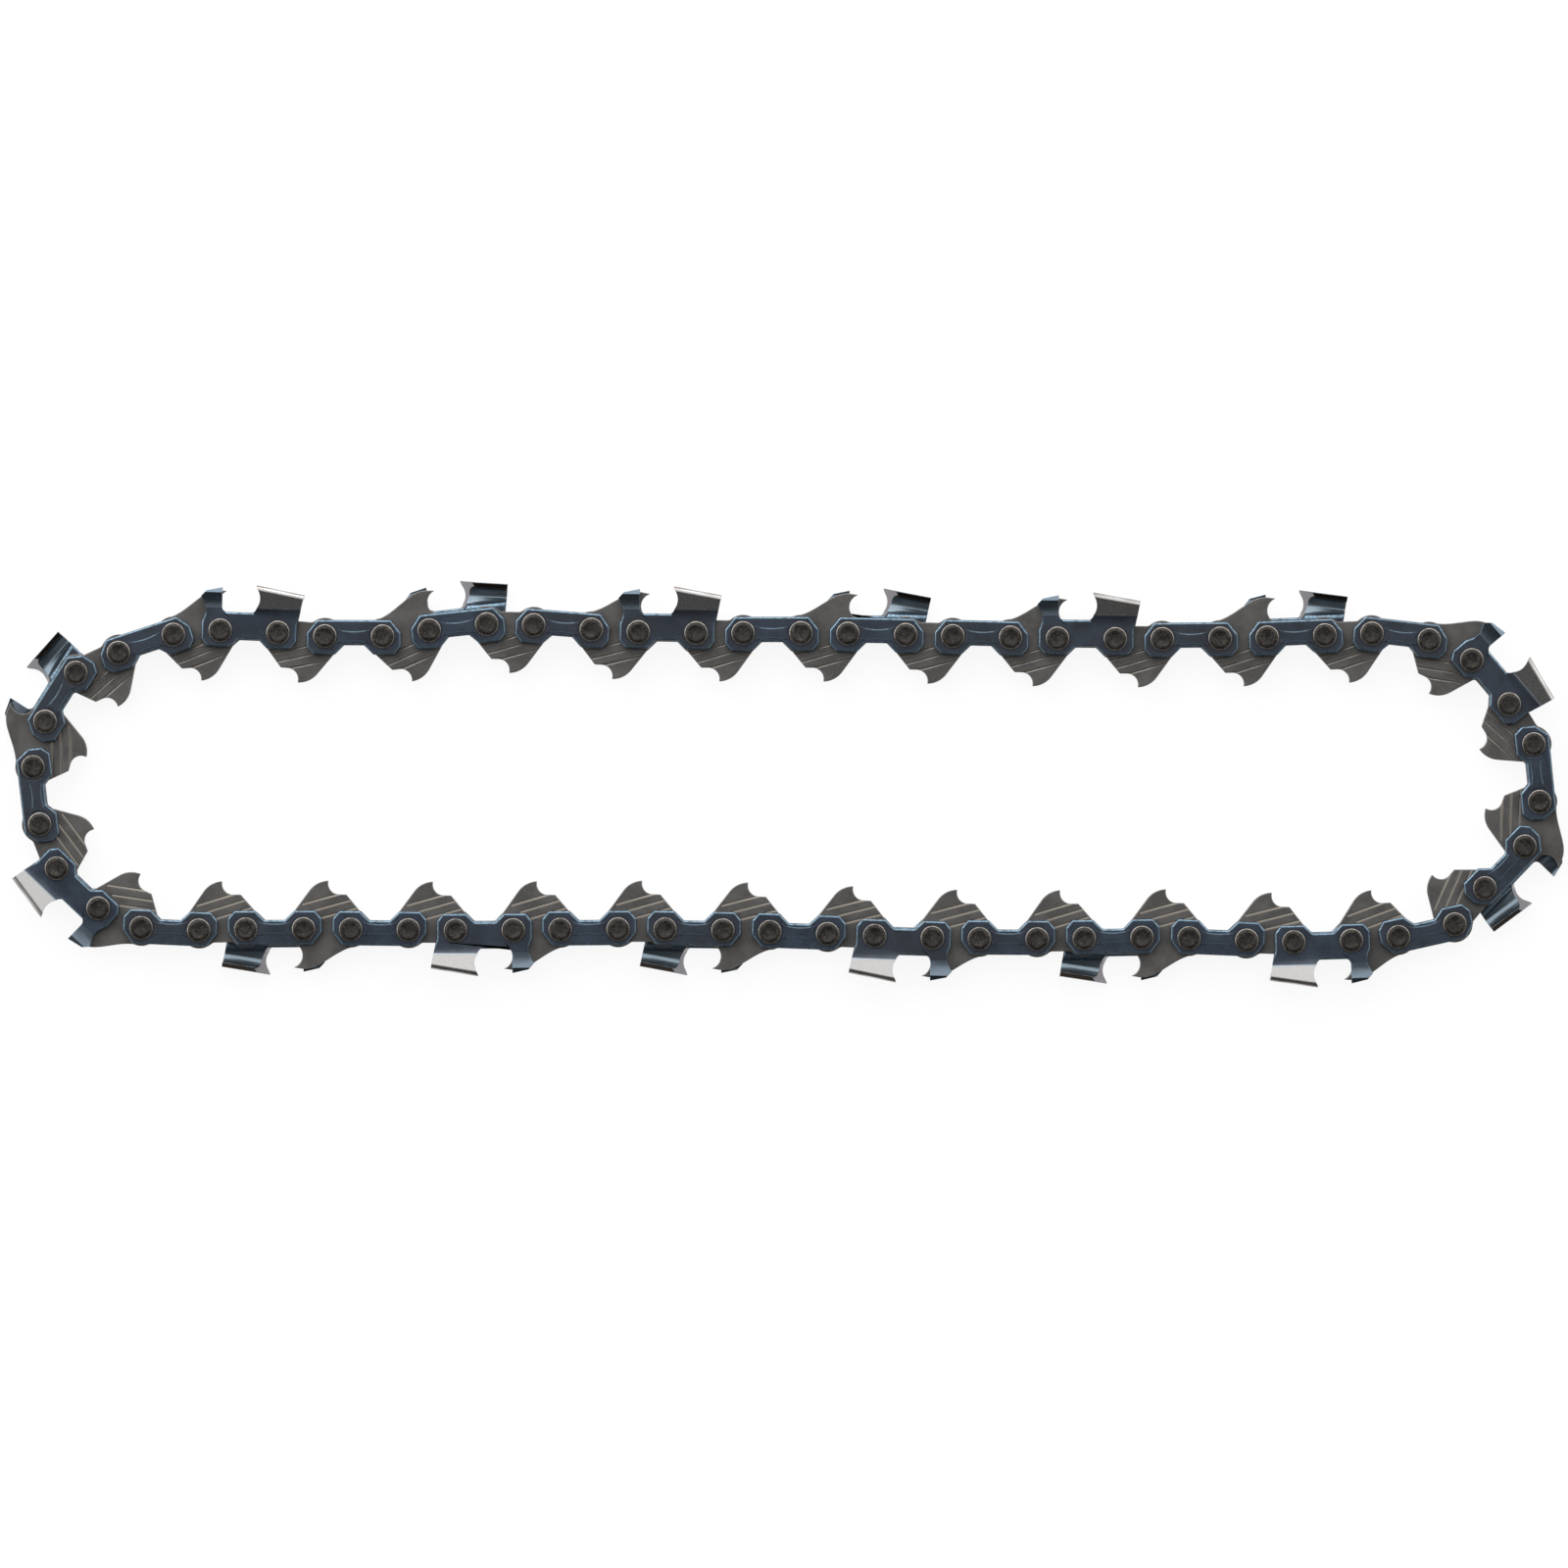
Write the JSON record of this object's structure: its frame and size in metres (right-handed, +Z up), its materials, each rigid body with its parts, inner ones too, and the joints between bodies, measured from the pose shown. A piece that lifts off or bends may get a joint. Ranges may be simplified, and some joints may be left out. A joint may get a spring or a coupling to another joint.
{
  "type": "chainsaw chain loop",
  "caption": "Closed loop of low-profile saw chain: left and right cutters with depth gauges, tie straps, hooked drive links and bumper links on rivets, to run round a guide bar.",
  "frame": {"origin": "on the surface that the loop lies on, under the middle of its length and width", "axes": "+Z up, along the rivets; +X along the loop's length; +Y across it"},
  "size_m": [0.2838, 0.074, 0.0063],
  "materials": {
    "blued_steel": "dark blued stamped steel, chromed on the teeth",
    "drive_link_steel": "dark grey oiled stamped steel",
    "rivet_steel": "peened bare steel"
  },
  "bodies": {
    "bumper_drive_link_01": {"bumper_drive_link_01": "drive_link_steel"},
    "bumper_drive_link_02": {"bumper_drive_link_02": "drive_link_steel"},
    "bumper_drive_link_03": {"bumper_drive_link_03": "drive_link_steel"},
    "bumper_drive_link_04": {"bumper_drive_link_04": "drive_link_steel"},
    "bumper_drive_link_05": {"bumper_drive_link_05": "drive_link_steel"},
    "bumper_drive_link_06": {"bumper_drive_link_06": "drive_link_steel"},
    "bumper_drive_link_07": {"bumper_drive_link_07": "drive_link_steel"},
    "bumper_drive_link_08": {"bumper_drive_link_08": "drive_link_steel"},
    "bumper_drive_link_09": {"bumper_drive_link_09": "drive_link_steel"},
    "bumper_drive_link_10": {"bumper_drive_link_10": "drive_link_steel"},
    "bumper_drive_link_11": {"bumper_drive_link_11": "drive_link_steel"},
    "bumper_drive_link_12": {"bumper_drive_link_12": "drive_link_steel"},
    "bumper_drive_link_13": {"bumper_drive_link_13": "drive_link_steel"},
    "bumper_drive_link_14": {"bumper_drive_link_14": "drive_link_steel"},
    "bumper_drive_link_15": {"bumper_drive_link_15": "drive_link_steel"},
    "bumper_drive_link_16": {"bumper_drive_link_16": "drive_link_steel"},
    "drive_link_02": {"drive_link_02": "drive_link_steel"},
    "drive_link_03": {"drive_link_03": "drive_link_steel"},
    "drive_link_04": {"drive_link_04": "drive_link_steel"},
    "drive_link_06": {"drive_link_06": "drive_link_steel"},
    "drive_link_07": {"drive_link_07": "drive_link_steel"},
    "drive_link_08": {"drive_link_08": "drive_link_steel"},
    "drive_link_10": {"drive_link_10": "drive_link_steel"},
    "drive_link_11": {"drive_link_11": "drive_link_steel"},
    "drive_link_12": {"drive_link_12": "drive_link_steel"},
    "drive_link_14": {"drive_link_14": "drive_link_steel"},
    "drive_link_15": {"drive_link_15": "drive_link_steel"},
    "drive_link_16": {"drive_link_16": "drive_link_steel"},
    "left_cutter_link_01": {"left_cutter_link_01": "blued_steel"},
    "left_cutter_link_02": {"left_cutter_link_02": "blued_steel"},
    "left_cutter_link_03": {"left_cutter_link_03": "blued_steel"},
    "left_cutter_link_04": {"left_cutter_link_04": "blued_steel"},
    "left_cutter_link_05": {"left_cutter_link_05": "blued_steel"},
    "left_cutter_link_06": {"left_cutter_link_06": "blued_steel"},
    "left_cutter_link_07": {"left_cutter_link_07": "blued_steel"},
    "left_cutter_link_08": {"left_cutter_link_08": "blued_steel"},
    "right_cutter_link_01": {"right_cutter_link_01": "blued_steel"},
    "right_cutter_link_02": {"right_cutter_link_02": "blued_steel"},
    "right_cutter_link_03": {"right_cutter_link_03": "blued_steel"},
    "right_cutter_link_04": {"right_cutter_link_04": "blued_steel"},
    "right_cutter_link_05": {"right_cutter_link_05": "blued_steel"},
    "right_cutter_link_06": {"right_cutter_link_06": "blued_steel"},
    "right_cutter_link_07": {"right_cutter_link_07": "blued_steel"},
    "right_cutter_link_08": {"right_cutter_link_08": "blued_steel"},
    "tie_strap_link_01": {"tie_strap_link_01": "blued_steel"},
    "tie_strap_link_02_with_drive_link_01": {"tie_strap_link_02_with_drive_link_01": "blued_steel"},
    "tie_strap_link_03": {"tie_strap_link_03": "blued_steel"},
    "tie_strap_link_04": {"tie_strap_link_04": "blued_steel"},
    "tie_strap_link_05": {"tie_strap_link_05": "blued_steel"},
    "tie_strap_link_06_with_drive_link_05": {"tie_strap_link_06_with_drive_link_05": "blued_steel"},
    "tie_strap_link_07": {"tie_strap_link_07": "blued_steel"},
    "tie_strap_link_08": {"tie_strap_link_08": "blued_steel"},
    "tie_strap_link_09": {"tie_strap_link_09": "blued_steel"},
    "tie_strap_link_10_with_drive_link_09": {"tie_strap_link_10_with_drive_link_09": "blued_steel"},
    "tie_strap_link_11": {"tie_strap_link_11": "blued_steel"},
    "tie_strap_link_12": {"tie_strap_link_12": "blued_steel"},
    "tie_strap_link_13": {"tie_strap_link_13": "blued_steel"},
    "tie_strap_link_14_with_drive_link_13": {"tie_strap_link_14_with_drive_link_13": "blued_steel"},
    "tie_strap_link_15": {"tie_strap_link_15": "blued_steel"},
    "tie_strap_link_16": {"tie_strap_link_16": "blued_steel"}
  },
  "joints": [
    {"name": "rivet_01", "type": "hinge", "parent": "tie_strap_link_01", "child": "drive_link_16", "pos_m": [-0.12096, 0.02388, 0.00317], "axis": [0, 0, 1], "range_deg": [-12.18, 2.45]},
    {"name": "rivet_02", "type": "hinge", "parent": "bumper_drive_link_01", "child": "tie_strap_link_01", "pos_m": [-0.11099, 0.02717, 0.00317], "axis": [0, 0, 1], "range_deg": [-5.75, 1.17]},
    {"name": "rivet_03", "type": "hinge", "parent": "left_cutter_link_01", "child": "bumper_drive_link_01", "pos_m": [-0.10247, 0.02795, 0.00317], "axis": [0, 0, 1], "range_deg": [-0.326, 0.081]},
    {"name": "rivet_04", "type": "hinge", "parent": "tie_strap_link_02_with_drive_link_01", "child": "left_cutter_link_01", "pos_m": [-0.09198, 0.02755, 0.00317], "axis": [0, 0, 1], "range_deg": [-0.99, 4.88]},
    {"name": "rivet_06", "type": "hinge", "parent": "bumper_drive_link_02", "child": "tie_strap_link_02_with_drive_link_01", "pos_m": [-0.07295, 0.02685, 0.00317], "axis": [0, 0, 1], "range_deg": [-1.65, 8.16]},
    {"name": "rivet_07", "type": "hinge", "parent": "right_cutter_link_01", "child": "bumper_drive_link_02", "pos_m": [-0.06448, 0.02795, 0.00317], "axis": [0, 0, 1], "range_deg": [-0.7, 3.41]},
    {"name": "rivet_08", "type": "hinge", "parent": "drive_link_02", "child": "right_cutter_link_01", "pos_m": [-0.05403, 0.02906, 0.00317], "axis": [0, 0, 1], "range_deg": [-2.34, 0.48]},
    {"name": "rivet_09", "type": "hinge", "parent": "tie_strap_link_03", "child": "drive_link_02", "pos_m": [-0.04549, 0.0289, 0.00317], "axis": [0, 0, 1], "range_deg": [-0.92, 4.5]},
    {"name": "rivet_10", "type": "hinge", "parent": "bumper_drive_link_03", "child": "tie_strap_link_03", "pos_m": [-0.03502, 0.02808, 0.00317], "axis": [0, 0, 1], "range_deg": [-1.49, 7.36]},
    {"name": "rivet_11", "type": "hinge", "parent": "left_cutter_link_02", "child": "bumper_drive_link_03", "pos_m": [-0.02648, 0.02763, 0.00317], "axis": [0, 0, 1], "range_deg": [-1.36, 6.7]},
    {"name": "rivet_12", "type": "hinge", "parent": "drive_link_03", "child": "left_cutter_link_02", "pos_m": [-0.01598, 0.02745, 0.00317], "axis": [0, 0, 1], "range_deg": [-1.37, 6.76]},
    {"name": "rivet_13", "type": "hinge", "parent": "tie_strap_link_04", "child": "drive_link_03", "pos_m": [-0.00743, 0.02745, 0.00317], "axis": [0, 0, 1], "range_deg": [-2.15, 10.66]},
    {"name": "rivet_14", "type": "hinge", "parent": "tie_strap_link_04", "child": "bumper_drive_link_04", "pos_m": [0.00307, 0.02746, 0.00317], "axis": [0, 0, 1], "range_deg": [-4.93, 1]},
    {"name": "rivet_15", "type": "hinge", "parent": "bumper_drive_link_04", "child": "right_cutter_link_02", "pos_m": [0.01162, 0.02737, 0.00317], "axis": [0, 0, 1], "range_deg": [-6.64, 1.34]},
    {"name": "rivet_16", "type": "hinge", "parent": "right_cutter_link_02", "child": "drive_link_04", "pos_m": [0.02212, 0.02714, 0.00317], "axis": [0, 0, 1], "range_deg": [-0.55, 0.126]},
    {"name": "rivet_17", "type": "hinge", "parent": "drive_link_04", "child": "tie_strap_link_05", "pos_m": [0.03066, 0.02691, 0.00317], "axis": [0, 0, 1], "range_deg": [-8.71, 1.76]},
    {"name": "rivet_18", "type": "hinge", "parent": "tie_strap_link_05", "child": "bumper_drive_link_05", "pos_m": [0.04116, 0.02665, 0.00317], "axis": [0, 0, 1], "range_deg": [-6.35, 1.29]},
    {"name": "rivet_19", "type": "hinge", "parent": "bumper_drive_link_05", "child": "left_cutter_link_03", "pos_m": [0.04971, 0.02649, 0.00317], "axis": [0, 0, 1], "range_deg": [-6.25, 1.27]},
    {"name": "rivet_20", "type": "hinge", "parent": "left_cutter_link_03", "child": "tie_strap_link_06_with_drive_link_05", "pos_m": [0.06021, 0.02638, 0.00317], "axis": [0, 0, 1], "range_deg": [-5.85, 1.19]},
    {"name": "rivet_22", "type": "hinge", "parent": "tie_strap_link_06_with_drive_link_05", "child": "bumper_drive_link_06", "pos_m": [0.07926, 0.02647, 0.00317], "axis": [0, 0, 1], "range_deg": [-8.11, 1.64]},
    {"name": "rivet_23", "type": "hinge", "parent": "bumper_drive_link_06", "child": "right_cutter_link_03", "pos_m": [0.0878, 0.02666, 0.00317], "axis": [0, 0, 1], "range_deg": [-7.32, 1.48]},
    {"name": "rivet_24", "type": "hinge", "parent": "right_cutter_link_03", "child": "drive_link_06", "pos_m": [0.0983, 0.02707, 0.00317], "axis": [0, 0, 1], "range_deg": [-5.27, 1.07]},
    {"name": "rivet_25", "type": "hinge", "parent": "drive_link_06", "child": "tie_strap_link_07", "pos_m": [0.10684, 0.02738, 0.00317], "axis": [0, 0, 1], "range_deg": [-0.95, 0.21]},
    {"name": "rivet_26", "type": "hinge", "parent": "tie_strap_link_07", "child": "bumper_drive_link_07", "pos_m": [0.11727, 0.02619, 0.00317], "axis": [0, 0, 1], "range_deg": [-2.68, 13.31]},
    {"name": "rivet_27", "type": "hinge", "parent": "bumper_drive_link_07", "child": "left_cutter_link_04", "pos_m": [0.12501, 0.02255, 0.00317], "axis": [0, 0, 1], "range_deg": [-3.12, 15.57]},
    {"name": "rivet_28", "type": "hinge", "parent": "left_cutter_link_04", "child": "drive_link_07", "pos_m": [0.13179, 0.01453, 0.00317], "axis": [0, 0, 1], "range_deg": [-2.55, 12.74]},
    {"name": "rivet_29", "type": "hinge", "parent": "drive_link_07", "child": "tie_strap_link_08", "pos_m": [0.13627, 0.00725, 0.00317], "axis": [0, 0, 1], "range_deg": [-2.69, 13.45]},
    {"name": "rivet_30", "type": "hinge", "parent": "tie_strap_link_08", "child": "bumper_drive_link_08", "pos_m": [0.13731, -0.0032, 0.00317], "axis": [0, 0, 1], "range_deg": [-3.17, 15.78]},
    {"name": "rivet_31", "type": "hinge", "parent": "bumper_drive_link_08", "child": "right_cutter_link_04", "pos_m": [0.13464, -0.01132, 0.00317], "axis": [0, 0, 1], "range_deg": [-2.87, 14.28]},
    {"name": "rivet_32", "type": "hinge", "parent": "right_cutter_link_04", "child": "drive_link_08", "pos_m": [0.12736, -0.01889, 0.00317], "axis": [0, 0, 1], "range_deg": [-1.12, 5.51]},
    {"name": "rivet_33", "type": "hinge", "parent": "drive_link_08", "child": "tie_strap_link_09", "pos_m": [0.12191, -0.02548, 0.00317], "axis": [0, 0, 1], "range_deg": [-2.37, 11.75]},
    {"name": "rivet_34", "type": "hinge", "parent": "tie_strap_link_09", "child": "bumper_drive_link_09", "pos_m": [0.11166, -0.02777, 0.00317], "axis": [0, 0, 1], "range_deg": [-1.21, 5.98]},
    {"name": "rivet_35", "type": "hinge", "parent": "bumper_drive_link_09", "child": "left_cutter_link_05", "pos_m": [0.10313, -0.0284, 0.00317], "axis": [0, 0, 1], "range_deg": [-0.27, 1.28]},
    {"name": "rivet_36", "type": "hinge", "parent": "left_cutter_link_05", "child": "tie_strap_link_10_with_drive_link_09", "pos_m": [0.09264, -0.02871, 0.00317], "axis": [0, 0, 1], "range_deg": [-0.41, 1.98]},
    {"name": "rivet_38", "type": "hinge", "parent": "tie_strap_link_10_with_drive_link_09", "child": "bumper_drive_link_10", "pos_m": [0.0736, -0.02797, 0.00317], "axis": [0, 0, 1], "range_deg": [-10.36, 2.09]},
    {"name": "rivet_39", "type": "hinge", "parent": "bumper_drive_link_10", "child": "right_cutter_link_05", "pos_m": [0.06505, -0.02789, 0.00317], "axis": [0, 0, 1], "range_deg": [-5.97, 1.21]},
    {"name": "rivet_40", "type": "hinge", "parent": "right_cutter_link_05", "child": "drive_link_10", "pos_m": [0.05455, -0.02805, 0.00317], "axis": [0, 0, 1], "range_deg": [-5.31, 1.08]},
    {"name": "rivet_41", "type": "hinge", "parent": "drive_link_10", "child": "tie_strap_link_11", "pos_m": [0.046, -0.02817, 0.00317], "axis": [0, 0, 1], "range_deg": [-6.19, 1.25]},
    {"name": "rivet_42", "type": "hinge", "parent": "tie_strap_link_11", "child": "bumper_drive_link_11", "pos_m": [0.0355, -0.02811, 0.00317], "axis": [0, 0, 1], "range_deg": [-3.82, 0.78]},
    {"name": "rivet_43", "type": "hinge", "parent": "bumper_drive_link_11", "child": "left_cutter_link_06", "pos_m": [0.02696, -0.02791, 0.00317], "axis": [0, 0, 1], "range_deg": [-4.54, 0.92]},
    {"name": "rivet_44", "type": "hinge", "parent": "left_cutter_link_06", "child": "drive_link_11", "pos_m": [0.01646, -0.02755, 0.00317], "axis": [0, 0, 1], "range_deg": [-4.9, 1]},
    {"name": "rivet_46", "type": "hinge", "parent": "bumper_drive_link_12", "child": "tie_strap_link_12", "pos_m": [-0.00257, -0.02683, 0.00317], "axis": [0, 0, 1], "range_deg": [-1.77, 8.76]},
    {"name": "rivet_47", "type": "hinge", "parent": "right_cutter_link_06", "child": "bumper_drive_link_12", "pos_m": [-0.01112, -0.02657, 0.00317], "axis": [0, 0, 1], "range_deg": [-1.58, 7.82]},
    {"name": "rivet_48", "type": "hinge", "parent": "drive_link_12", "child": "right_cutter_link_06", "pos_m": [-0.02162, -0.02638, 0.00317], "axis": [0, 0, 1], "range_deg": [-1.42, 7.03]},
    {"name": "rivet_49", "type": "hinge", "parent": "tie_strap_link_13", "child": "drive_link_12", "pos_m": [-0.03017, -0.02636, 0.00317], "axis": [0, 0, 1], "range_deg": [-1.59, 7.89]},
    {"name": "rivet_50", "type": "hinge", "parent": "bumper_drive_link_13", "child": "tie_strap_link_13", "pos_m": [-0.04067, -0.02644, 0.00317], "axis": [0, 0, 1], "range_deg": [-1.54, 7.6]},
    {"name": "rivet_51", "type": "hinge", "parent": "left_cutter_link_07", "child": "bumper_drive_link_13", "pos_m": [-0.04922, -0.02653, 0.00317], "axis": [0, 0, 1], "range_deg": [-1.41, 6.96]},
    {"name": "rivet_52", "type": "hinge", "parent": "tie_strap_link_14_with_drive_link_13", "child": "left_cutter_link_07", "pos_m": [-0.05972, -0.02658, 0.00317], "axis": [0, 0, 1], "range_deg": [-0.85, 4.18]},
    {"name": "rivet_54", "type": "hinge", "parent": "bumper_drive_link_14", "child": "tie_strap_link_14_with_drive_link_13", "pos_m": [-0.07877, -0.02641, 0.00317], "axis": [0, 0, 1], "range_deg": [-1.4, 6.91]},
    {"name": "rivet_55", "type": "hinge", "parent": "right_cutter_link_07", "child": "bumper_drive_link_14", "pos_m": [-0.08732, -0.02634, 0.00317], "axis": [0, 0, 1], "range_deg": [-1.37, 6.77]},
    {"name": "rivet_56", "type": "hinge", "parent": "drive_link_14", "child": "right_cutter_link_07", "pos_m": [-0.09782, -0.02638, 0.00317], "axis": [0, 0, 1], "range_deg": [-1.07, 5.29]},
    {"name": "rivet_57", "type": "hinge", "parent": "tie_strap_link_15", "child": "drive_link_14", "pos_m": [-0.10636, -0.02658, 0.00317], "axis": [0, 0, 1], "range_deg": [-0.25, 1.17]},
    {"name": "rivet_58", "type": "hinge", "parent": "bumper_drive_link_15", "child": "tie_strap_link_15", "pos_m": [-0.11685, -0.02611, 0.00317], "axis": [0, 0, 1], "range_deg": [-12.96, 2.61]},
    {"name": "rivet_59", "type": "hinge", "parent": "left_cutter_link_08", "child": "bumper_drive_link_15", "pos_m": [-0.12464, -0.02257, 0.00317], "axis": [0, 0, 1], "range_deg": [-15.16, 3.05]},
    {"name": "rivet_60", "type": "hinge", "parent": "drive_link_15", "child": "left_cutter_link_08", "pos_m": [-0.13222, -0.01531, 0.00317], "axis": [0, 0, 1], "range_deg": [-11.85, 2.39]},
    {"name": "rivet_61", "type": "hinge", "parent": "tie_strap_link_16", "child": "drive_link_15", "pos_m": [-0.13528, -0.00732, 0.00317], "axis": [0, 0, 1], "range_deg": [-12.62, 2.54]},
    {"name": "rivet_62", "type": "hinge", "parent": "bumper_drive_link_16", "child": "tie_strap_link_16", "pos_m": [-0.13649, 0.00311, 0.00317], "axis": [0, 0, 1], "range_deg": [-15.91, 3.18]},
    {"name": "rivet_63", "type": "hinge", "parent": "right_cutter_link_08", "child": "bumper_drive_link_16", "pos_m": [-0.1343, 0.01137, 0.00317], "axis": [0, 0, 1], "range_deg": [-14.63, 2.94]},
    {"name": "rivet_64", "type": "hinge", "parent": "drive_link_16", "child": "right_cutter_link_08", "pos_m": [-0.1287, 0.02026, 0.00317], "axis": [0, 0, 1], "range_deg": [-8.92, 1.8]}
  ],
  "couplings": [
    {"joint": "rivet_01", "follows": "rivet_29", "ratio": -0.90428},
    {"joint": "rivet_02", "follows": "rivet_62", "ratio": 0.36038},
    {"joint": "rivet_03", "follows": "rivet_27", "ratio": -0.019658},
    {"joint": "rivet_04", "follows": "rivet_28", "ratio": 0.3816},
    {"joint": "rivet_06", "follows": "rivet_62", "ratio": -0.51166},
    {"joint": "rivet_07", "follows": "rivet_27", "ratio": 0.21794},
    {"joint": "rivet_08", "follows": "rivet_28", "ratio": -0.18185},
    {"joint": "rivet_09", "follows": "rivet_29", "ratio": 0.33311},
    {"joint": "rivet_10", "follows": "rivet_62", "ratio": -0.46115},
    {"joint": "rivet_11", "follows": "rivet_27", "ratio": 0.42914},
    {"joint": "rivet_12", "follows": "rivet_28", "ratio": 0.52935},
    {"joint": "rivet_13", "follows": "rivet_29", "ratio": 0.79096},
    {"joint": "rivet_14", "follows": "rivet_62", "ratio": 0.30886},
    {"joint": "rivet_15", "follows": "rivet_27", "ratio": -0.42479},
    {"joint": "rivet_16", "follows": "rivet_28", "ratio": -0.041587},
    {"joint": "rivet_17", "follows": "rivet_29", "ratio": -0.64644},
    {"joint": "rivet_18", "follows": "rivet_62", "ratio": 0.39808},
    {"joint": "rivet_19", "follows": "rivet_27", "ratio": -0.40002},
    {"joint": "rivet_20", "follows": "rivet_28", "ratio": -0.45748},
    {"joint": "rivet_22", "follows": "rivet_62", "ratio": 0.50873},
    {"joint": "rivet_23", "follows": "rivet_27", "ratio": -0.46892},
    {"joint": "rivet_24", "follows": "rivet_28", "ratio": -0.41237},
    {"joint": "rivet_25", "follows": "rivet_29", "ratio": -0.069204},
    {"joint": "rivet_26", "follows": "rivet_62", "ratio": -0.8358},
    {"joint": "rivet_30", "follows": "rivet_62", "ratio": -0.99061},
    {"joint": "rivet_31", "follows": "rivet_27", "ratio": 0.91573},
    {"joint": "rivet_32", "follows": "rivet_28", "ratio": 0.43131},
    {"joint": "rivet_33", "follows": "rivet_29", "ratio": 0.87183},
    {"joint": "rivet_34", "follows": "rivet_62", "ratio": -0.37464},
    {"joint": "rivet_35", "follows": "rivet_27", "ratio": 0.081199},
    {"joint": "rivet_36", "follows": "rivet_28", "ratio": 0.15397},
    {"joint": "rivet_38", "follows": "rivet_62", "ratio": 0.65022},
    {"joint": "rivet_39", "follows": "rivet_27", "ratio": -0.38207},
    {"joint": "rivet_40", "follows": "rivet_28", "ratio": -0.41545},
    {"joint": "rivet_41", "follows": "rivet_29", "ratio": -0.45898},
    {"joint": "rivet_42", "follows": "rivet_62", "ratio": 0.23887},
    {"joint": "rivet_43", "follows": "rivet_27", "ratio": -0.29033},
    {"joint": "rivet_44", "follows": "rivet_28", "ratio": -0.38341},
    {"joint": "rivet_46", "follows": "rivet_62", "ratio": -0.54942},
    {"joint": "rivet_47", "follows": "rivet_27", "ratio": 0.50051},
    {"joint": "rivet_48", "follows": "rivet_28", "ratio": 0.55045},
    {"joint": "rivet_49", "follows": "rivet_29", "ratio": 0.58536},
    {"joint": "rivet_50", "follows": "rivet_62", "ratio": -0.47651},
    {"joint": "rivet_51", "follows": "rivet_27", "ratio": 0.44565},
    {"joint": "rivet_52", "follows": "rivet_28", "ratio": 0.32698},
    {"joint": "rivet_54", "follows": "rivet_62", "ratio": -0.43327},
    {"joint": "rivet_55", "follows": "rivet_27", "ratio": 0.43322},
    {"joint": "rivet_56", "follows": "rivet_28", "ratio": 0.41352},
    {"joint": "rivet_57", "follows": "rivet_29", "ratio": 0.085158},
    {"joint": "rivet_58", "follows": "rivet_62", "ratio": 0.81347},
    {"joint": "rivet_59", "follows": "rivet_27", "ratio": -0.97239},
    {"joint": "rivet_60", "follows": "rivet_28", "ratio": -0.92872},
    {"joint": "rivet_61", "follows": "rivet_29", "ratio": -0.93691},
    {"joint": "rivet_63", "follows": "rivet_27", "ratio": -0.93846},
    {"joint": "rivet_64", "follows": "rivet_28", "ratio": -0.69872}
  ]
}
